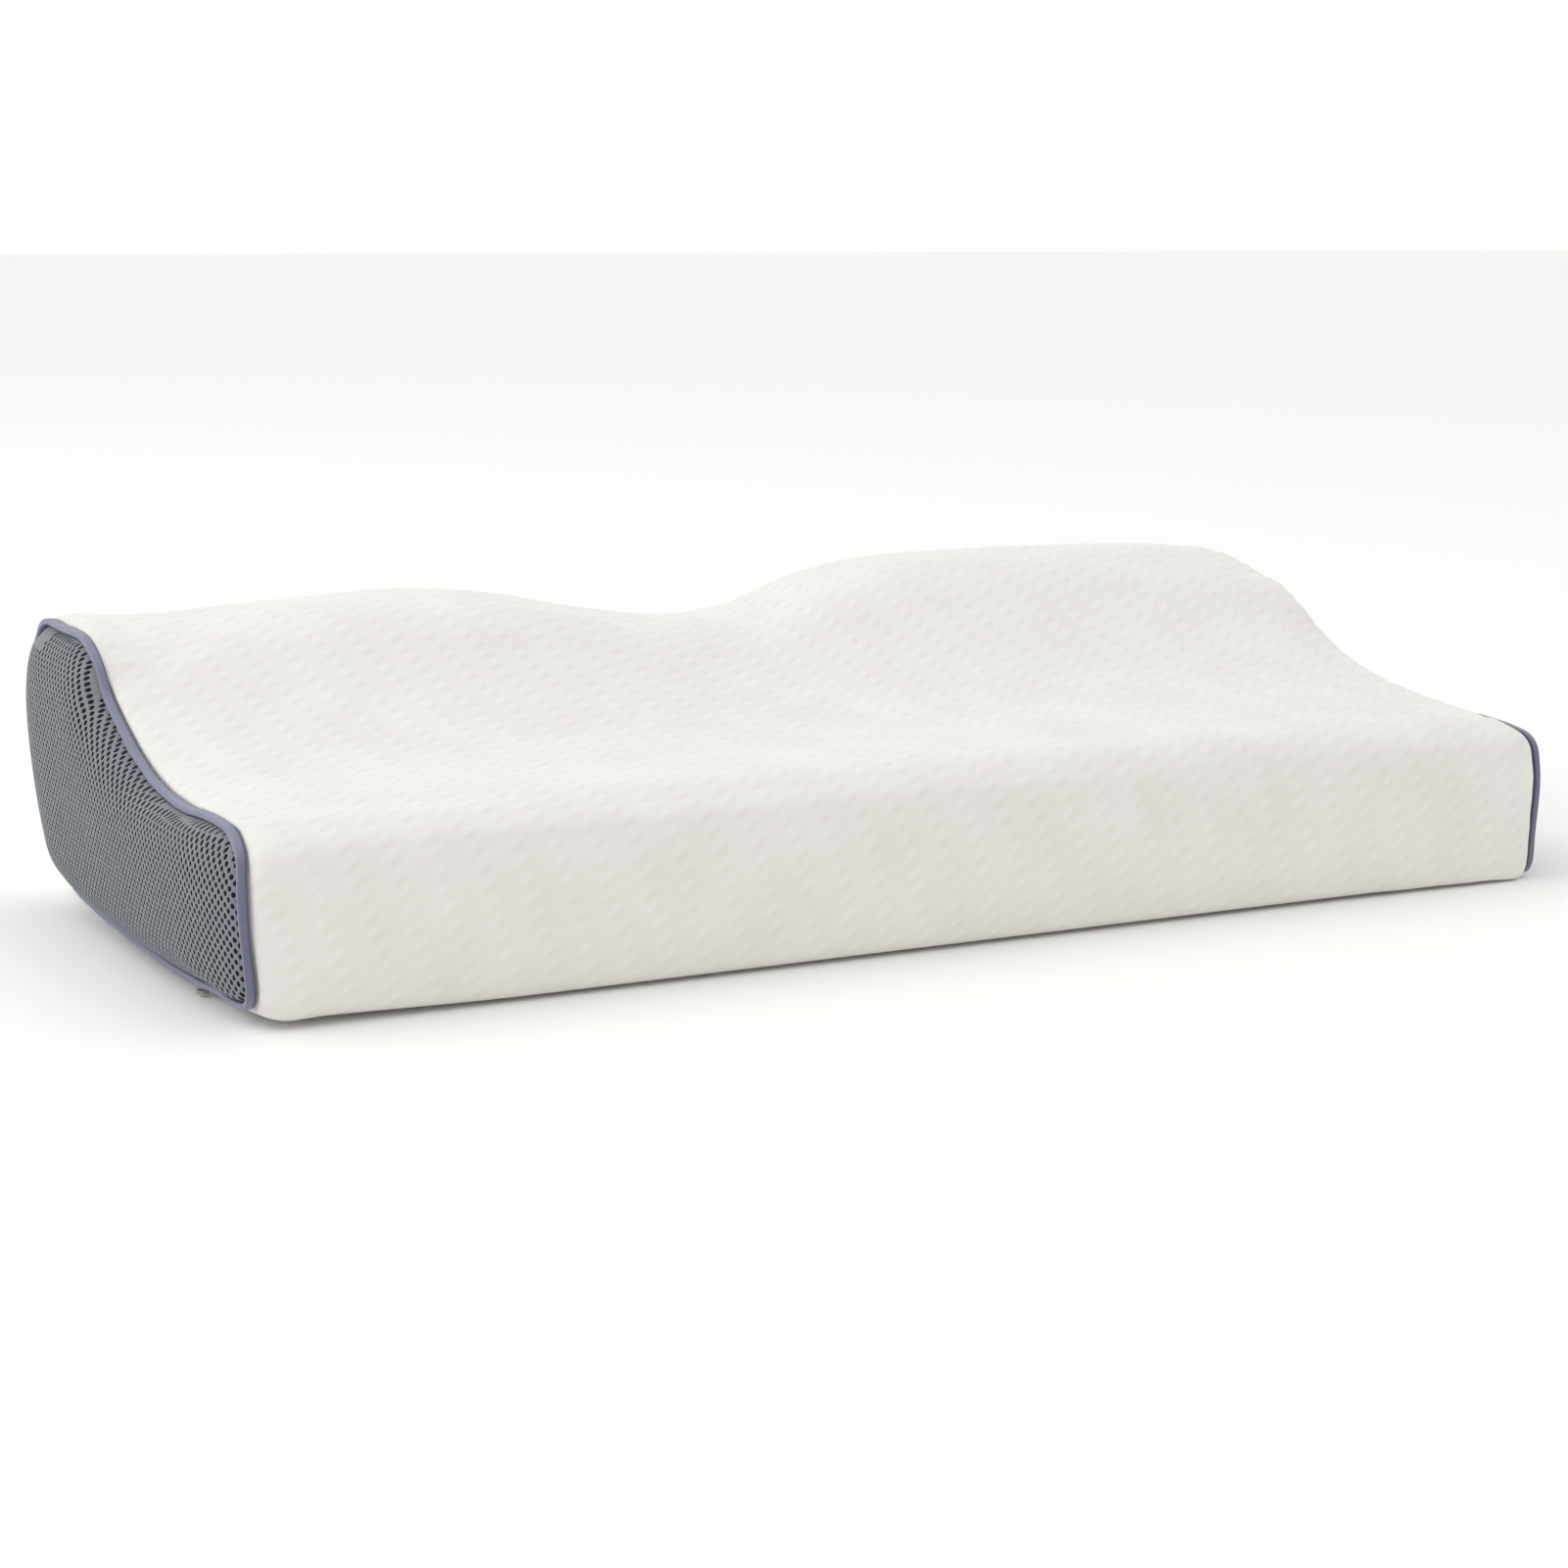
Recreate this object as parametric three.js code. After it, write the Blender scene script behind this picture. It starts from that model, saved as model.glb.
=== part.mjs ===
// Contoured neck pillow in a knitted cover. A mesh panel is sewn into each end, its seam bound with tape.
// Sizes are in millimetres. +X runs along the pillow, +Y from its low front to its high back, +Z up.
// The origin is on the flat underside, in the middle of the pillow.
import * as THREE from 'three';

// Driving sizes
const seamLength = 600;       // from one end seam to the other
const ridgeHeight = 122;      // nominal height of the back lobes
const gap = 0.3;              // left between neighbouring pieces
const cornerLength = 14;      // the cover's rounded turn from its long faces to the end seam
const seamBulge = 3;          // swell of the end seam, above half its height
const fillBulge = 9.5;        // swell of the filled end inside its seam
const domeSquareness = 8;     // how soon that swell is reached, coming in from the seam
const panelThickness = 2.7;   // open mesh cloth
const tapeThickness = 2.4;    // folded binding, both layers and the seam between them
const tapeWidth = 4;          // how far the binding stands out from the end
const liftStart = -112;       // the ridge's swells and dip have faded out here, at the front
const liftEnd = 95;           // they have their full height from here to the back
const toeLift = { left: 2, right: -2.5 };   // rise of the front bottom corner at each end
const toeLiftLength = 110;    // length over which a corner rises
const toeLiftDepth = 25;      // depth, from the front, over which the rise fades out
const toeLiftHeight = 60;     // height over which the rise fades out
const sinkStart = 170;        // the right end has begun to sink from here outwards
const pullLength = 4.5;       // the small pull below the left seam, along the pillow
const pullWidth = 4.5;
const pullThickness = 1.4;
const pullPlace = [-299.8, -77, 1];     // its inner end, just under the seam

// How finely the faces are divided
const stepsPerSpan = 3;
const cornerSteps = 4;
const mainSpans = 23;
const domeRings = [1, 0.86, 0.62, 0.32];
const pullCornerSteps = 10;

// Outline of the pillow seen from its left end, as (y, z): the full body, and the narrower seam of each
// end. It starts at the front bottom corner, climbs the front and ends along the underside.
const outlineRows = [
  { at: 'toe', body: [-135.5, 0], left: [-128.5, 7], right: [-130, 4.5] },
  { at: 'front low', body: [-139.5, 4], left: [-133, 12], right: [-134, 9] },
  { at: 'front middle', body: [-140, 32], left: [-133, 32], right: [-133.5, 32] },
  { at: 'front high', body: [-139, 56], left: [-132, 53], right: [-132.5, 53] },
  { at: 'front edge', body: [-134, 67], left: [-127, 64], right: [-129, 64.5] },
  { at: 'front lip', body: [-122, 72.5], left: [-114, 70.5], right: [-116, 68.5] },
  { at: 'trough front', body: [-95, 74], left: [-93.5, 71.8], right: [-93.5, 68.5] },
  { at: 'trough', body: [-66, 74.5], left: [-67, 70.3], right: [-67, 65.5] },
  { at: 'trough back', body: [-38, 77], left: [-37, 71.8], right: [-37, 66.5] },
  { at: 'slope foot', body: [-12, 83], left: [-13, 77.3], right: [-13, 71] },
  { at: 'slope low', body: [13, 92.5], left: [12, 87.5], right: [12, 79.5] },
  { at: 'slope high', body: [35, 104], left: [31, 98], right: [31, 85.5] },
  { at: 'slope head', body: [50, 113], left: [44, 110], right: [44, 96] },
  { at: 'lobe front', body: [66, 119], left: [60, 117], right: [60, 107.5] },
  { at: 'lobe top', body: [92, 122], left: [92, 117.5], right: [92, 112] },
  { at: 'lobe back', body: [116, 120.5], left: [115, 117], right: [115, 112] },
  { at: 'back edge', body: [133, 112], left: [124, 110], right: [124, 106] },
  { at: 'back high', body: [139, 97], left: [127, 95], right: [127, 93] },
  { at: 'back middle', body: [140, 60], left: [121, 56], right: [121, 56] },
  { at: 'back low', body: [137, 20], left: [112, 29], right: [112, 29] },
  { at: 'heel', body: [126, 3], left: [102, 16], right: [102, 16] },
  { at: 'underside back', body: [112, 0], left: [75, 8.5], right: [75, 8.5] },
  { at: 'underside middle', body: [30, 0], left: [10, 4.5], right: [10, 4.5] },
  { at: 'underside front', body: [-60, 0], left: [-60, 4.5], right: [-60, 4.5] },
  { at: 'underside toe', body: [-110, 0], left: [-103, 7], right: [-106, 4.5] },
];

// Height of the ridge along the pillow, above or below its nominal height.
const ridgeRows = [
  { x: -300, lift: 0 },
  { x: -262, lift: -3.5 },
  { x: -205, lift: -1 },
  { x: -150, lift: 1 },
  { x: -105, lift: -3 },
  { x: -60, lift: -12 },
  { x: -15, lift: -18 },
  { x: 18, lift: -15 },
  { x: 50, lift: -4 },
  { x: 85, lift: 3 },
  { x: 130, lift: 5 },
  { x: 200, lift: 5 },
  { x: 255, lift: 4 },
  { x: 300, lift: 0 },
];

// How far the filling has sunk at the right end, from front to back.
const sinkRows = [
  { y: -140, sink: 5 },
  { y: -105, sink: 4 },
  { y: -55, sink: -2 },
  { y: 5, sink: -3.5 },
  { y: 35, sink: -7 },
  { y: 60, sink: 1.5 },
  { y: 95, sink: 0 },
  { y: 140, sink: 0 },
];

const endX = seamLength / 2;
const endCentre = new THREE.Vector2(30, 45);
const toeY = outlineRows[0].body[0];
const { clamp, lerp, smoothstep } = THREE.MathUtils;

// A smooth curve through the rows of a table: gives the value column for any place.
function curveThrough(rows, place, value) {
  const last = rows.length - 1;
  const slopeAt = (k) => {
    const before = rows[Math.max(k - 1, 0)];
    const after = rows[Math.min(k + 1, last)];
    return (after[value] - before[value]) / (after[place] - before[place]);
  };
  return (at) => {
    const beyond = rows.findIndex((row) => row[place] > at);
    const k = beyond < 0 ? last : Math.max(beyond, 1);
    const span = rows[k][place] - rows[k - 1][place];
    const t = clamp((at - rows[k - 1][place]) / span, 0, 1);
    const rise = t * t * (3 - 2 * t);
    const leave = slopeAt(k - 1) * t * (1 - t) ** 2;
    const arrive = slopeAt(k) * t * t * (t - 1);
    return lerp(rows[k - 1][value], rows[k][value], rise) + span * (leave + arrive);
  };
}

const ridgeLift = curveThrough(ridgeRows, 'x', 'lift');
const endSink = curveThrough(sinkRows, 'y', 'sink');

// Height of an outline's point as the pillow lies: with the ridge's swells and dip, the sunk right end
// and the uneven front bottom corners. Lifts and sinks of the ridge are in full at its own height.
function settledHeight(x, y, z) {
  const reach = smoothstep(y, liftStart, liftEnd);
  const sink = endSink(y) * smoothstep(x, sinkStart, endX);
  const nearEnd = smoothstep(Math.abs(x), endX - toeLiftLength, endX);
  const nearToe = 1 - smoothstep(y, toeY, toeY + toeLiftDepth);
  const nearFloor = 1 - smoothstep(z, 0, toeLiftHeight);
  const rise = (x < 0 ? toeLift.left : toeLift.right) * nearEnd * nearToe * nearFloor;
  return Math.max(z * (1 + (ridgeLift(x) * reach - sink) / ridgeHeight) + rise, 0);
}

// Closed smooth outline through one column of the outline table, as (y, z) points.
function smoothOutline(column) {
  const knots = outlineRows.map((row) => new THREE.Vector3(...row[column], 0));
  const curve = new THREE.CatmullRomCurve3(knots, true, 'centripetal');
  const points = curve.getPoints(knots.length * stepsPerSpan).slice(0, -1);
  return points.map((p) => new THREE.Vector2(p.x, Math.max(p.y, 0)));
}

const bodyOutline = smoothOutline('body');

// The outline moved inwards by a distance, in its own plane.
function insetOutline(outline, distance) {
  return outline.map((point, i) => {
    const before = outline[(i + outline.length - 1) % outline.length];
    const after = outline[(i + 1) % outline.length];
    const along = after.clone().sub(before).normalize();
    return new THREE.Vector2(point.x + along.y * distance, point.y - along.x * distance);
  });
}

// Height of an end seam's upper edge, for any place from the front lip to the back edge.
const rowOf = (name) => outlineRows.findIndex((row) => row.at === name);

function seamTop(column) {
  const topRows = outlineRows.slice(rowOf('front lip'), rowOf('back high'));
  return curveThrough(topRows.map(({ [column]: [y, z] }) => ({ y, z })), 'y', 'z');
}

// How far an end swells out of its plane at a place: not at all at its top and bottom, most at two thirds
// of its height. The swell follows t²(1 - t), which has its peak there.
const swellPeak = (2 / 3) ** 2 * (1 - 2 / 3);

function seamSwell(end, place) {
  const t = clamp(place.y / end.top(place.x), 0, 1);
  return (seamBulge * t * t * (1 - t)) / swellPeak;
}

// One end: its side (-1 left, 1 right), its seam as sewn, and the seam's outline settled as the filling
// lies there, with the edge of what is sewn inside the binding.
function endShape(side, column) {
  const seam = smoothOutline(column);
  const outline = seam.map(({ x: y, y: z }) => new THREE.Vector2(y, settledHeight(side * endX, y, z)));
  const edge = insetOutline(outline, tapeThickness / 2 + gap);
  return { side, seam, top: seamTop(column), outline, edge };
}

const leftEnd = endShape(-1, 'left');
const rightEnd = endShape(1, 'right');

// Cross-section of the body at x; turn goes from 0 at the end seam to 1 on the long faces.
function bodySection(x, turn) {
  const end = x < 0 ? leftEnd : rightEnd;
  return bodyOutline.map((full, i) => {
    const y = lerp(end.seam[i].x, full.x, turn);
    const z = lerp(end.seam[i].y, full.y, turn);
    const swell = end.side * seamSwell(end, end.outline[i]) * (1 - turn);
    return new THREE.Vector3(x + swell, y, settledHeight(x, y, z));
  });
}

// Point on an end, standing out from the seam's plane by the given distance.
function endPoint(end, place, out) {
  return new THREE.Vector3(end.side * (endX + seamSwell(end, place) + out), place.x, place.y);
}

// Rings of a swollen end face, from its edge to near its middle, and its middle point.
function domeFace(end, offset) {
  const rings = domeRings.map((fraction) => end.edge.map((point) => {
    const place = point.clone().sub(endCentre).multiplyScalar(fraction).add(endCentre);
    return endPoint(end, place, offset + fillBulge * (1 - fraction ** domeSquareness));
  }));
  return { rings, middle: endPoint(end, endCentre, offset + fillBulge) };
}

// Joins rings of equal count into one closed skin. The first and last rings close on a middle point,
// or on each other when no middle points are given.
function skin(rings, firstMiddle, lastMiddle) {
  const count = rings[0].length;
  const points = rings.flat();
  const faces = [];
  const wraps = !firstMiddle;
  const bands = wraps ? rings.length : rings.length - 1;
  for (let r = 0; r < bands; r += 1) {
    for (let i = 0; i < count; i += 1) {
      const a = r * count + i;
      const b = r * count + (i + 1) % count;
      const c = ((r + 1) % rings.length) * count + i;
      const d = ((r + 1) % rings.length) * count + (i + 1) % count;
      faces.push([a, b, d], [a, d, c]);
    }
  }
  if (!wraps) {
    const first = points.push(firstMiddle) - 1;
    const last = points.push(lastMiddle) - 1;
    const start = (rings.length - 1) * count;
    for (let i = 0; i < count; i += 1) {
      faces.push([first, (i + 1) % count, i], [last, start + i, start + (i + 1) % count]);
    }
  }
  return closedGeometry(points, faces);
}

// Buffer geometry of a closed skin, with its faces turned outwards.
function closedGeometry(points, faces) {
  const volume = faces.reduce((sum, [a, b, c]) => (
    sum + points[a].dot(points[b].clone().cross(points[c]))
  ), 0);
  const outward = volume > 0 ? faces : faces.map(([a, b, c]) => [a, c, b]);
  const coordinates = points.flatMap((point) => point.toArray());
  const geometry = new THREE.BufferGeometry();
  geometry.setAttribute('position', new THREE.Float32BufferAttribute(coordinates, 3));
  geometry.setIndex(outward.flat());
  geometry.computeVertexNormals();
  return geometry;
}

// The filled body: swollen ends, rounded corners and the long contoured faces between them.
function pillowBody() {
  const corner = (side) => {
    const sections = [];
    for (let step = 0; step <= cornerSteps; step += 1) {
      const angle = (step / cornerSteps) * Math.PI / 2;
      const x = side * (endX - cornerLength * (1 - Math.cos(angle)));
      sections.push(bodySection(x, Math.sin(angle)));
    }
    return sections;
  };
  const middle = [];
  const mainStart = endX - cornerLength;
  for (let step = 1; step < mainSpans; step += 1) {
    middle.push(bodySection(-mainStart + (2 * mainStart * step) / mainSpans, 1));
  }
  const left = domeFace(leftEnd, 0);
  const right = domeFace(rightEnd, 0);
  const rings = [
    ...left.rings.reverse(),
    ...corner(-1),
    ...middle,
    ...corner(1).reverse(),
    ...right.rings,
  ];
  return skin(rings, left.middle, right.middle);
}

// Mesh cloth over one end: an even layer that follows the swollen filling.
function endPanel(end) {
  const inner = domeFace(end, gap);
  const outer = domeFace(end, gap + panelThickness);
  return skin([...inner.rings.reverse(), ...outer.rings], inner.middle, outer.middle);
}

// Folded tape round one end seam: a low wall with a rounded outer edge.
function binding(end) {
  const half = tapeThickness / 2;
  const section = [
    { across: -half, out: 0 },
    { across: half, out: 0 },
    { across: half, out: tapeWidth - half },
    { across: half / 2, out: tapeWidth },
    { across: -half / 2, out: tapeWidth },
    { across: -half, out: tapeWidth - half },
  ];
  return skin(section.map(({ across, out }) => (
    insetOutline(end.outline, across).map((place) => endPoint(end, place, gap + out))
  )));
}

// Tip of a small pull that shows below the left end's seam: a flat tab with a round outer end.
function pullTip() {
  const half = pullWidth / 2;
  const outline = new THREE.Shape();
  outline.moveTo(0, -half);
  outline.lineTo(0, half);
  outline.lineTo(half - pullLength, half);
  outline.absarc(half - pullLength, 0, half, Math.PI / 2, Math.PI * 1.5, false);
  return new THREE.ExtrudeGeometry(outline, {
    depth: pullThickness,
    bevelEnabled: false,
    curveSegments: pullCornerSteps,
  });
}

function cloth(name, geometry, color, roughness) {
  const material = new THREE.MeshStandardMaterial({ color, roughness, metalness: 0 });
  const mesh = new THREE.Mesh(geometry, material);
  mesh.name = name;
  return mesh;
}

const pillow = new THREE.Group();
pillow.name = 'neck_pillow';
pillow.add(cloth('pillow_body', pillowBody(), '#efefec', 0.9));
for (const [label, end] of [['left', leftEnd], ['right', rightEnd]]) {
  pillow.add(cloth(`end_panel_${label}`, endPanel(end), '#7f888d', 0.85));
  pillow.add(cloth(`binding_${label}`, binding(end), '#8788a0', 0.8));
}
const tip = cloth('pull_tip', pullTip(), '#8d8a86', 0.5);
tip.position.set(...pullPlace);
pillow.add(tip);

export default pillow;
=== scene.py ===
import math

import bmesh
import bpy
import numpy as np
from mathutils import Matrix, Vector
from mathutils.geometry import delaunay_2d_cdt


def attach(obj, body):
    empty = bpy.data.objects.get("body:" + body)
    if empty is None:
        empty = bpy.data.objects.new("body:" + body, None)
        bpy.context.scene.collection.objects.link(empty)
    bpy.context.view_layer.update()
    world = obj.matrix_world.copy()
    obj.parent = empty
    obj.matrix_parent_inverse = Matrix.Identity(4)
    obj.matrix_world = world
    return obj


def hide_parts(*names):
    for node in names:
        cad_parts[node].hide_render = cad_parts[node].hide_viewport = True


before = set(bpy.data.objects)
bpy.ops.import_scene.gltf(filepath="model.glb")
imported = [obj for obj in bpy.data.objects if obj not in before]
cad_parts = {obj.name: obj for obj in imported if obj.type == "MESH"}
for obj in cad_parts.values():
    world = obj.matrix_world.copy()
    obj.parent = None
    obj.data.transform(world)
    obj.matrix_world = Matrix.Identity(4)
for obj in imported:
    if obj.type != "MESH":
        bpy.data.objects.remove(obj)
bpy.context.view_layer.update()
mm = 0.001
nudge = 0.1                    # of a knot to each side, to find which way a line runs
finePlaces = 6001              # on a whole line, to measure its length
scene = bpy.context.scene
print("frame loaded:", ", ".join(sorted(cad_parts)))


pillow = {
    "seamLength": 600,        # from one end seam to the other
    "ridgeHeight": 122,       # nominal height of the back lobes
    "cornerLength": 14,       # rounded turn from the long faces to the end seam
    "seamBulge": 3,           # swell of the end seam, above half its height
    "seamSway": 0.2,          # the sewn seam wanders a little to both sides
    "seamWaves": (7, 13, 19, 31),   # times in one round
    "seamPhase": 1.7,
    "fillBulge": 9.5,         # swell of the filled end inside its seam
    "domeSquareness": 8,      # how soon that swell is reached, coming in from the seam
    "endCentre": (30, 45),
    "liftFrom": -112,         # the dip and swells of the ridge fade in from here
    "liftTo": 95,
    "toeLiftLeft": 2,         # rise of the front bottom corner at each end
    "toeLiftRight": -2.5,
    "toeLiftLength": 110,
    "toeLiftDepth": 25,
    "toeLiftHeight": 60,
    "sinkFrom": 170,          # the right end has sunk a little from here outwards
    # Each row: its name, then y and z on the full body, on the left seam and on the right seam.
    # They climb the front, cross the top, come down the back and return along the underside.
    "outline": [
        ("toe", -135.5, 0, -128.5, 7, -130, 4.5),
        ("front low", -139.5, 4, -133, 12, -134, 9),
        ("front middle", -140, 32, -133, 32, -133.5, 32),
        ("front high", -139, 56, -132, 53, -132.5, 53),
        ("front edge", -134, 67, -127, 64, -129, 64.5),
        ("front lip", -122, 72.5, -114, 70.5, -116, 68.5),
        ("trough front", -95, 74, -93.5, 71.8, -93.5, 68.5),
        ("trough", -66, 74.5, -67, 70.3, -67, 65.5),
        ("trough back", -38, 77, -37, 71.8, -37, 66.5),
        ("slope foot", -12, 83, -13, 77.3, -13, 71),
        ("slope low", 13, 92.5, 12, 87.5, 12, 79.5),
        ("slope high", 35, 104, 31, 98, 31, 85.5),
        ("slope head", 50, 113, 44, 110, 44, 96),
        ("lobe front", 66, 119, 60, 117, 60, 107.5),
        ("lobe top", 92, 122, 92, 117.5, 92, 112),
        ("lobe back", 116, 120.5, 115, 117, 115, 112),
        ("back edge", 133, 112, 124, 110, 124, 106),
        ("back high", 139, 97, 127, 95, 127, 93),
        ("back middle", 140, 60, 121, 56, 121, 56),
        ("back low", 137, 20, 112, 29, 112, 29),
        ("heel", 126, 3, 102, 16, 102, 16),
        ("underside back", 112, 0, 75, 8.5, 75, 8.5),
        ("underside middle", 30, 0, 10, 4.5, 10, 4.5),
        ("underside front", -60, 0, -60, 4.5, -60, 4.5),
        ("underside toe", -110, 0, -103, 7, -106, 4.5),
    ],
    # Along the ridge: x, and how far it stands above or below its nominal height.
    "ridge": [
        (-300, 0), (-262, -3.5), (-205, -1), (-150, 1), (-105, -3), (-60, -12), (-15, -18),
        (18, -15), (50, -4), (85, 3), (130, 5), (200, 5), (255, 4), (300, 0),
    ],
    # Across the right end: y, and how far the filling has sunk.
    "sink": [(-140, 5), (-105, 4), (-55, -2), (5, -3.5), (35, -7), (60, 1.5), (95, 0), (140, 0)],
}
endX = pillow["seamLength"] / 2
knots = len(pillow["outline"])


def smoothStep(value, low, high):
    t = np.clip((value - low) / (high - low), 0, 1)
    return t * t * (3 - 2 * t)


def curveThrough(rows, at):
    # smooth curve through (place, value) rows; each row's slope comes from its neighbours
    place, value = np.array(rows, float).T
    last = len(place) - 1
    index = np.arange(last + 1)
    before, after = np.maximum(index - 1, 0), np.minimum(index + 1, last)
    slope = (value[after] - value[before]) / (place[after] - place[before])
    k = np.clip(np.searchsorted(place, at, side="right"), 1, last)
    span = place[k] - place[k - 1]
    t = np.clip((at - place[k - 1]) / span, 0, 1)
    bend = slope[k - 1] * t * (1 - t) ** 2 + slope[k] * t * t * (t - 1)
    return value[k - 1] + (value[k] - value[k - 1]) * t * t * (3 - 2 * t) + span * bend


def settledHeight(x, y, z):
    # height of a point of the outline, with the ridge, the sunk end and the front corners counted in
    reach = smoothStep(y, pillow["liftFrom"], pillow["liftTo"])
    sink = curveThrough(pillow["sink"], y) * smoothStep(x, pillow["sinkFrom"], endX)
    nearEnd = smoothStep(np.abs(x), endX - pillow["toeLiftLength"], endX)
    toeY = pillow["outline"][0][1]
    nearToe = 1 - smoothStep(y, toeY, toeY + pillow["toeLiftDepth"])
    nearFloor = 1 - smoothStep(z, 0, pillow["toeLiftHeight"])
    lift = np.where(x < 0, pillow["toeLiftLeft"], pillow["toeLiftRight"])
    swing = (curveThrough(pillow["ridge"], x) * reach - sink) / pillow["ridgeHeight"]
    return np.maximum(z * (1 + swing) + lift * nearEnd * nearToe * nearFloor, 0)


def closedSpline(through, at):
    # closed centripetal curve through some points; at counts them, 0 to their number
    through = np.array(through, float)
    k = np.floor(at).astype(int)
    t = (at - k)[:, None]
    p0, p1, p2, p3 = (through[(k + step) % len(through)] for step in (-1, 0, 1, 2))
    spans = ((p0, p1), (p1, p2), (p2, p3))
    d0, d1, d2 = (np.sqrt(np.linalg.norm(b - a, axis=1))[:, None] for a, b in spans)
    leave = d1 * ((p1 - p0) / d0 - (p2 - p0) / (d0 + d1) + (p2 - p1) / d1)
    arrive = d1 * ((p2 - p1) / d1 - (p3 - p1) / (d1 + d2) + (p3 - p2) / d2)
    curve = p1 + leave * t + (3 * (p2 - p1) - 2 * leave - arrive) * t ** 2
    curve = curve + (2 * (p1 - p2) + leave + arrive) * t ** 3
    curve[:, 1] = np.maximum(curve[:, 1], 0)
    return curve


def bodyLine(at):
    return closedSpline([row[1:3] for row in pillow["outline"]], at)


def seamLine(side):
    # the seam's line on one end, as a function of the place along it
    first = 3 if side < 0 else 5
    seam = [row[first:first + 2] for row in pillow["outline"]]

    def line(at):
        along = closedSpline(seam, at + nudge) - closedSpline(seam, at - nudge)
        along /= np.linalg.norm(along, axis=1)[:, None]
        turnAt = at / knots * 2 * math.pi
        phase = pillow["seamPhase"] * side
        sway = sum(np.sin(turnAt * n + phase * n) / n ** 0.5 for n in pillow["seamWaves"])
        inward = np.stack([along[:, 1], -along[:, 0]], axis=1)
        return closedSpline(seam, at) + inward * (pillow["seamSway"] * sway)[:, None]

    return line


def rowNumber(name):
    return [row[0] for row in pillow["outline"]].index(name)


def alongLine(line, spacings):
    # places on a closed line, spaced as asked for, and the length of line up to each
    # spacings are (knot, spacing) rows
    fine = np.linspace(0, knots, finePlaces)
    steps = np.linalg.norm(np.diff(line(fine), axis=0), axis=1)
    middle = (fine[1:] + fine[:-1]) / 2
    asked, spacing = np.array(spacings, float).T
    counted = np.concatenate([[0], np.cumsum(steps / np.interp(middle, asked, spacing))])
    length = np.concatenate([[0], np.cumsum(steps)])
    at = np.interp(np.arange(math.floor(counted[-1])), counted, fine)
    return at, np.interp(at, fine, length)


def seamSwell(side, y, z):
    # how far an end swells out of its plane; t * t * (1 - t) peaks at two thirds of the height
    first, last = rowNumber("front lip"), rowNumber("back high")
    column = 3 if side < 0 else 5
    top = curveThrough([row[column:column + 2] for row in pillow["outline"][first:last]], y)
    t = np.clip(z / top, 0, 1)
    peak = (2 / 3) ** 2 * (1 - 2 / 3)
    return pillow["seamBulge"] * t * t * (1 - t) / peak


def endSeam(side, at):
    y, z = seamLine(side)(at).T
    return np.stack([y, settledHeight(side * endX, y, z)], axis=1)


def inset(line, distance):
    # a closed line moved inwards in its own plane
    along = np.roll(line, -1, axis=0) - np.roll(line, 1, axis=0)
    along /= np.linalg.norm(along, axis=1)[:, None]
    return line + np.stack([along[:, 1], -along[:, 0]], axis=1) * distance


def bodyGrid(x, turn, at):
    # the body's faces as a grid of points: a row for each x, a column for each place round it
    x, turn = x[:, None], turn[:, None]
    left, right = seamLine(-1)(at), seamLine(1)(at)
    full = bodyLine(at)
    seam = np.where(x[:, :, None] < 0, left, right)
    y, z = (seam[:, :, k] * (1 - turn) + full[:, k] * turn for k in (0, 1))
    swell = [seamSwell(side, *endSeam(side, at).T) for side in (-1, 1)]
    swell = np.where(x < 0, -swell[0], swell[1]) * (1 - turn)
    return np.stack([x + swell, y + 0 * x, settledHeight(x, y, z)], axis=2)


def gridNormals(grid):
    along = np.gradient(grid, axis=0)
    around = np.roll(grid, -1, axis=1) - np.roll(grid, 1, axis=1)
    normals = np.cross(around, along)
    normals /= np.maximum(np.linalg.norm(normals, axis=2), 1e-9)[:, :, None]
    centre = grid.mean(axis=(0, 1))
    return normals if ((grid - centre) * normals).sum() > 0 else -normals


def makeMesh(name, points, faces, *materials, smooth=True):
    mesh = bpy.data.meshes.new(name)
    mesh.from_pydata((np.array(points, float) * mm).tolist(), [], faces)
    mesh.polygons.foreach_set("use_smooth", [smooth] * len(mesh.polygons))
    for material in materials:
        mesh.materials.append(material)
    mesh.validate()
    piece = bpy.data.objects.new(name, mesh)
    scene.collection.objects.link(piece)
    return piece


def ringFaces(rows, columns, first=0, closed=False):
    # quads over a grid whose rows are rings of points; a closed grid's last row joins its first
    a = np.arange(rows if closed else rows - 1)[:, None] * columns
    b = (a + columns) % (rows * columns)
    here = np.arange(columns)[None, :]
    there = (here + 1) % columns
    quads = np.stack([a + here, a + there, b + there, b + here], axis=2).reshape(-1, 4) + first
    return quads.tolist()


def faceOutwards(piece):
    shape = bmesh.new()
    shape.from_mesh(piece.data)
    bmesh.ops.recalc_face_normals(shape, faces=shape.faces)
    shape.to_mesh(piece.data)
    shape.free()
    return piece


def cornersOf(mesh):
    # the vertex that each face corner uses, for writing a map
    vertexOf = np.zeros(len(mesh.loops), int)
    mesh.loops.foreach_get("vertex_index", vertexOf)
    return vertexOf


waveScale = math.pi / 10       # a wave texture of this scale repeats once a unit


def linear(hexColour):
    # an sRGB hex colour, turned linear
    values = [int(hexColour[k:k + 2], 16) / 255 for k in (1, 3, 5)]
    straight = [v / 12.92 if v <= 0.04045 else ((v + 0.055) / 1.055) ** 2.4 for v in values]
    return (*straight, 1.0)


def addNode(tree, kind, settings=None, links=None):
    node = tree.nodes.new(kind)
    for name, value in (settings or {}).items():
        if isinstance(name, int) or name in node.inputs:
            node.inputs[name].default_value = value
        else:
            setattr(node, name, value)
    for name, source in (links or {}).items():
        tree.links.new(source, node.inputs[name])
    return node


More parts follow.
